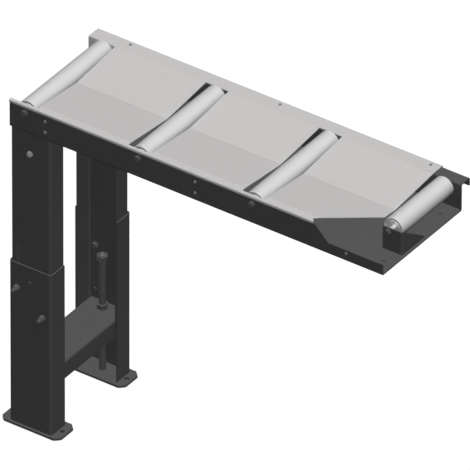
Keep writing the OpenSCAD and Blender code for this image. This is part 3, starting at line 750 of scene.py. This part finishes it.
# Side screws: five more of the small screws in the near web. Each turns into a
# threaded insert, a collared sleeve riveted into the web from outside and coated with it.

web_y = -0.153
collar_t = 0.0005
side_screw_len = 0.007
side_spots = ((0.0425, 0.820), (0.0425, 0.849), (0.446, 0.820), (0.446, 0.849), (0.8495, 0.820))

side_screw = socket_screw("side_screw_model", side_screw_len)
finish(side_screw, oiled_screw)
insert = turned(
    "side_insert_model",
    [(0.00205, -collar_t), (0.0037, -collar_t), (0.004, -collar_t * 0.5), (0.004, 0.0), (0.003, 0.0),
     (0.003, 0.0035), (0.0029, 0.0040), (0.003, 0.0045), (0.003, 0.0097), (0.0027, 0.010), (0.00205, 0.010)],
)
joined(insert)
finish(insert, dark_coat)
for i, (x, z) in enumerate(side_spots, 1):
    set_in_place(
        side_screw, f"side_screw_{i}", (x, web_y - collar_t, z), to_far, "upper_frame", "side_screws"
    )
    set_in_place(insert, f"side_insert_{i}", (x, web_y, z), to_far, "upper_frame", "side_inserts")
bpy.data.objects.remove(side_screw)
bpy.data.objects.remove(insert)

# Axles: bars of bright drawn steel, chamfered and threaded at both ends, which stand
# still between the webs while the rollers turn on them.

axle_r = 0.006
axle_hole_r = 0.00405
hole_depth = 0.020
hole_tip = 0.0225
axle_z = 0.851
far_web_y = 0.150
roller_x = (-0.012, 0.293, 0.598, 0.903)
axle_start_y = (-0.150, -0.150, -0.150, -0.065)

lines = bpy.data.node_groups.new("tool_marks", "ShaderNodeTree")
for name, kind, value in (
    ("Colour", "NodeSocketColor", (0.5, 0.5, 0.5, 1.0)),
    ("Across", "NodeSocketVector", (1.0, 1.0, 1.0)),
    ("Contrast", "NodeSocketFloat", 0.1),
    ("Roughness", "NodeSocketFloat", 0.3),
    ("Groove depth", "NodeSocketFloat", 0.000004),
):
    socket = lines.interface.new_socket(name, in_out="INPUT", socket_type=kind)
    socket.default_value = value
lines.interface.new_socket("Colour", in_out="OUTPUT", socket_type="NodeSocketColor")
lines.interface.new_socket("Roughness", in_out="OUTPUT", socket_type="NodeSocketFloat")
lines.interface.new_socket("Normal", in_out="OUTPUT", socket_type="NodeSocketVector")
nodes = lines.nodes
links = lines.links
given = nodes.new("NodeGroupInput")
result = nodes.new("NodeGroupOutput")
place = nodes.new("ShaderNodeTexCoord")
stretch = nodes.new("ShaderNodeVectorMath")
stretch.operation = "MULTIPLY"
marks = nodes.new("ShaderNodeTexNoise")
marks.inputs["Scale"].default_value = 1.0
marks.inputs["Detail"].default_value = 4.0
handled = nodes.new("ShaderNodeTexNoise")
handled.inputs["Scale"].default_value = 25.0
handled.inputs["Detail"].default_value = 3.0
both = nodes.new("ShaderNodeMath")
both.operation = "MULTIPLY_ADD"
both.inputs[1].default_value = 0.5
shift = nodes.new("ShaderNodeMath")
shift.operation = "SUBTRACT"
shift.inputs[1].default_value = 0.75
amount = nodes.new("ShaderNodeMath")
amount.operation = "MULTIPLY"
lift = nodes.new("ShaderNodeMath")
lift.operation = "ADD"
lift.inputs[1].default_value = 1.0
tint = nodes.new("ShaderNodeVectorMath")
tint.operation = "SCALE"
rub = nodes.new("ShaderNodeMath")
rub.operation = "SUBTRACT"
bump = nodes.new("ShaderNodeBump")
bump.inputs["Strength"].default_value = 0.5
links.new(place.outputs["Object"], stretch.inputs[0])
links.new(given.outputs["Across"], stretch.inputs[1])
links.new(stretch.outputs["Vector"], marks.inputs["Vector"])
links.new(place.outputs["Object"], handled.inputs["Vector"])
links.new(handled.outputs["Fac"], both.inputs[0])
links.new(marks.outputs["Fac"], both.inputs[2])
links.new(both.outputs["Value"], shift.inputs[0])
links.new(shift.outputs["Value"], amount.inputs[0])
links.new(given.outputs["Contrast"], amount.inputs[1])
links.new(amount.outputs["Value"], lift.inputs[0])
links.new(given.outputs["Colour"], tint.inputs[0])
links.new(lift.outputs["Value"], tint.inputs["Scale"])
links.new(given.outputs["Roughness"], rub.inputs[0])
links.new(amount.outputs["Value"], rub.inputs[1])
links.new(given.outputs["Groove depth"], bump.inputs["Distance"])
links.new(marks.outputs["Fac"], bump.inputs["Height"])
links.new(tint.outputs["Vector"], result.inputs["Colour"])
links.new(rub.outputs["Value"], result.inputs["Roughness"])
links.new(bump.outputs["Normal"], result.inputs["Normal"])


def tooled(name, colour, across, contrast, roughness, metallic, specular):
    """Bare steel with fine tool marks, drawn out in the direction that the tool ran."""
    steel = bpy.data.materials.new(name)
    steel.use_nodes = True
    skin = steel.node_tree.nodes.new("ShaderNodeGroup")
    skin.node_tree = lines
    skin.inputs["Colour"].default_value = (*colour, 1.0)
    skin.inputs["Across"].default_value = across
    skin.inputs["Contrast"].default_value = contrast
    skin.inputs["Roughness"].default_value = roughness
    shader = steel.node_tree.nodes["Principled BSDF"]
    shader.inputs["Metallic"].default_value = metallic
    shader.inputs["Specular IOR Level"].default_value = specular
    for channel, socket in (("Colour", "Base Color"), ("Roughness", "Roughness"), ("Normal", "Normal")):
        steel.node_tree.links.new(skin.outputs[channel], shader.inputs[socket])
    return steel


drawn_steel = tooled("bright_drawn_steel", (0.72, 0.72, 0.72), (900.0, 20.0, 900.0), 0.12, 0.30, 0.7, 0.5)

for i, (x, start) in enumerate(zip(roller_x, axle_start_y), 1):
    length = far_web_y - start
    axle = turned(
        f"roller_axle_{i}",
        [(0.0, hole_tip), (axle_hole_r, hole_depth), (axle_hole_r, 0.0006), (axle_hole_r + 0.0006, 0.0),
         (axle_r - 0.0005, 0.0), (axle_r, 0.0005), (axle_r, length - 0.0005), (axle_r - 0.0005, length),
         (axle_hole_r + 0.0006, length), (axle_hole_r, length - 0.0006),
         (axle_hole_r, length - hole_depth), (0.0, length - hole_tip)],
        40,
    )
    joined(axle)
    axle.location = (x, start, axle_z)
    axle.rotation_euler = to_far
    axle.select_set(True)
    bpy.ops.object.transform_apply(location=True, rotation=True, scale=True)
    bpy.ops.object.select_all(action="DESELECT")
    finish(axle, drawn_steel)
    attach(axle, "upper_frame")
    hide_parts(f"axle_{i}")

# Axle screws and washers: blackened hexagon screws into both ends of every axle, each
# on a plain washer outside the webs and outside the end bracket.

axle_screw_len = 0.0196
axle_thread_len = 0.014
axle_seat_y = (-0.153, -0.153, -0.153, -0.068)
far_seat_y = 0.153

axle_screw = hexagon_screw("axle_screw_model", axle_screw_len, axle_thread_len)
washer = stamped_washer("axle_washer_model", washer_r)
for model in (axle_screw, washer):
    finish(model, black_steel)
for i, (x, seat) in enumerate(zip(roller_x, axle_seat_y), 1):
    set_in_place(
        axle_screw, f"axle_screw_near_{i}", (x, seat - washer_t, axle_z), to_far, "upper_frame", "axle_screws"
    )
    set_in_place(
        axle_screw, f"axle_screw_far_{i}", (x, far_seat_y + washer_t, axle_z), to_near, "upper_frame",
        "axle_screws",
    )
    set_in_place(washer, f"axle_washer_near_{i}", (x, seat, axle_z), to_near, "upper_frame", "axle_washers")
    set_in_place(
        washer, f"axle_washer_far_{i}", (x, far_seat_y, axle_z), to_far, "upper_frame", "axle_washers"
    )
bpy.data.objects.remove(axle_screw)
bpy.data.objects.remove(washer)

# Roller tubes: precision steel tubes, ground bright round their outside and chamfered
# at both ends. The stock to be sawn runs on them.

tube_r = 0.025
tube_bore_r = 0.023
tube_far_y = 0.147
tube_start_y = (-0.142, -0.142, -0.142, -0.0495)
# Painted shade on the tubes: how far their colour is darkened towards the outlines.
dim_from = 0.26
dim_to = 0.80
dimmest = 0.56

ground_steel = tooled("ground_steel", (0.654, 0.648, 0.651), (15.0, 420.0, 15.0), 0.10, 0.50, 0.12, 0.10)
# The tubes' base colour is darkened as they turn away from the camera towards their outlines: painted shade.
nodes = ground_steel.node_tree.nodes
links = ground_steel.node_tree.links
turned_away = nodes.new("ShaderNodeLayerWeight")
turned_away.inputs["Blend"].default_value = 0.5
painted_outline_shade = nodes.new("ShaderNodeMapRange")
painted_outline_shade.inputs["From Min"].default_value = dim_from
painted_outline_shade.inputs["From Max"].default_value = dim_to
painted_outline_shade.inputs["To Min"].default_value = 1.0
painted_outline_shade.inputs["To Max"].default_value = dimmest
shade_dimmed_colour = nodes.new("ShaderNodeVectorMath")
shade_dimmed_colour.operation = "SCALE"
skin_colour = next(n for n in nodes if n.type == "GROUP").outputs["Colour"]
links.new(turned_away.outputs["Facing"], painted_outline_shade.inputs["Value"])
links.new(skin_colour, shade_dimmed_colour.inputs[0])
links.new(painted_outline_shade.outputs["Result"], shade_dimmed_colour.inputs["Scale"])
links.new(shade_dimmed_colour.outputs["Vector"], nodes["Principled BSDF"].inputs["Base Color"])

for i, (x, start) in enumerate(zip(roller_x, tube_start_y), 1):
    length = tube_far_y - start
    tube = turned(
        f"ground_tube_{i}",
        [(tube_bore_r, 0.0003), (tube_bore_r + 0.0003, 0.0), (tube_r - 0.0005, 0.0), (tube_r, 0.0005),
         (tube_r, length - 0.0005), (tube_r - 0.0005, length), (tube_bore_r + 0.0003, length),
         (tube_bore_r, length - 0.0003)],
        96,
    )
    joined(tube)
    tube.location = (x, start, axle_z)
    tube.rotation_euler = to_far
    tube.select_set(True)
    bpy.ops.object.transform_apply(location=True, rotation=True, scale=True)
    bpy.ops.object.select_all(action="DESELECT")
    finish(tube, ground_steel)
    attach(tube, f"roller_{i}")
    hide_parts(f"roller_tube_{i}")

# Bearing housings: cups pressed from zinc-plated sheet with rounded bends, pushed
# into the ends of the tubes. The hub of each cup holds a ball bearing.

housing = turned(
    "bearing_housing_model",
    [(0.0160, 0.0120), (0.0160, 0.0038), (0.0162, 0.0032), (0.0168, 0.0030), (0.0222, 0.0030),
     (0.0228, 0.0032), (0.0230, 0.0038), (0.0230, 0.0170), (0.0215, 0.0170), (0.0215, 0.0051),
     (0.0213, 0.0047), (0.0209, 0.0045), (0.0181, 0.0045), (0.0177, 0.0047), (0.0175, 0.0051),
     (0.0175, 0.0120)],
    64,
)
joined(housing)
pressed_zinc = plated("pressed_zinc_sheet", (0.56, 0.56, 0.565), (0.60, 0.595, 0.585), 0.4, 0.50, 0.10, 0.2)
finish(housing, pressed_zinc)
for i, (x, start) in enumerate(zip(roller_x, tube_start_y), 1):
    for end, y, turn in (("near", start, to_far), ("far", tube_far_y, to_near)):
        set_in_place(
            housing, f"bearing_housing_{end}_{i}", (x, y, axle_z), turn, f"roller_{i}", f"roller_housings_{i}"
        )
bpy.data.objects.remove(housing)

# Ball bearings: an inner and an outer ring of hardened steel with a ground race each,
# seven polished balls between them, and a thin pressed shield that keeps dirt out.

race_y = 0.007
race_ring_r = 0.011
ball_r = 0.002975
ball_count = 7
inner_groove_r = 0.00327
outer_groove_r = 0.00302


def race(middle_r, groove_r, low_deg, high_deg):
    """Points of a ball groove, as radii and heights, through an arc of its circle."""
    steps = [math.radians(low_deg + (high_deg - low_deg) * k / 8.0) for k in range(9)]
    return [(middle_r + groove_r * math.cos(a), race_y + groove_r * math.sin(a)) for a in steps]


bearing_steel = tooled(
    "hardened_bearing_steel", (0.74, 0.74, 0.74), (700.0, 60.0, 700.0), 0.06, 0.42, 0.55, 0.4
)
ball_steel = tooled("polished_ball_steel", (0.80, 0.80, 0.80), (300.0, 300.0, 300.0), 0.04, 0.12, 0.9, 0.5)

inner_ring = turned(
    "bearing_inner_model",
    [(0.0060, 0.0024), (0.0064, 0.0020), (0.0095, 0.0020),
     *race(race_ring_r, inner_groove_r, 243.0, 117.0),
     (0.0095, 0.0120), (0.0064, 0.0120), (0.0060, 0.0116)],
    48,
)
joined(inner_ring)
outer_ring = turned(
    "bearing_outer_model",
    [(0.0160, 0.0024), (0.0160, 0.0116), (0.0156, 0.0120), (0.0125, 0.0120),
     *race(race_ring_r, outer_groove_r, 60.0, -60.0),
     (0.0125, 0.0020), (0.0156, 0.0020)],
    56,
)
joined(outer_ring)
shield = turned(
    "bearing_shield_model",
    [(0.0098, 0.0026), (0.0102, 0.0023), (0.0122, 0.0023), (0.0126, 0.0026), (0.0126, 0.0029),
     (0.0121, 0.0026), (0.0103, 0.0026), (0.0098, 0.0029)],
    56,
)
joined(shield)
bpy.ops.mesh.primitive_uv_sphere_add(
    segments=24, ring_count=16, radius=ball_r, location=(race_ring_r, 0.0, race_y)
)
balls = bpy.context.object
balls.name = "bearing_balls_model"
bpy.ops.object.transform_apply(location=True, rotation=True, scale=True)
bpy.ops.object.mode_set(mode="EDIT")
bpy.ops.mesh.select_all(action="SELECT")
bpy.ops.mesh.spin(
    steps=ball_count, dupli=True, angle=math.tau, center=(0.0, 0.0, 0.0), axis=(0.0, 0.0, 1.0)
)
bpy.ops.mesh.select_all(action="SELECT")
bpy.ops.mesh.remove_doubles(threshold=merge_within)
bpy.ops.mesh.normals_make_consistent(inside=False)
bpy.ops.object.mode_set(mode="OBJECT")
bpy.ops.object.shade_smooth()
for model, steel in (
    (inner_ring, bearing_steel),
    (outer_ring, bearing_steel),
    (shield, bearing_steel),
    (balls, ball_steel),
):
    finish(model, steel)
for i, (x, start) in enumerate(zip(roller_x, tube_start_y), 1):
    for end, y, turn in (("near", start, to_far), ("far", tube_far_y, to_near)):
        spot = (x, y, axle_z)
        set_in_place(
            inner_ring, f"bearing_inner_ring_{end}_{i}", spot, turn, "upper_frame", f"bearing_inner_{i}"
        )
        set_in_place(
            outer_ring, f"bearing_outer_ring_{end}_{i}", spot, turn, f"roller_{i}", f"bearing_outer_{i}"
        )
        set_in_place(shield, f"bearing_shield_{end}_{i}", spot, turn, f"roller_{i}", None)
        set_in_place(balls, f"bearing_ball_set_{end}_{i}", spot, turn, f"roller_{i}", f"bearing_balls_{i}")
for model in (inner_ring, outer_ring, shield, balls):
    bpy.data.objects.remove(model)
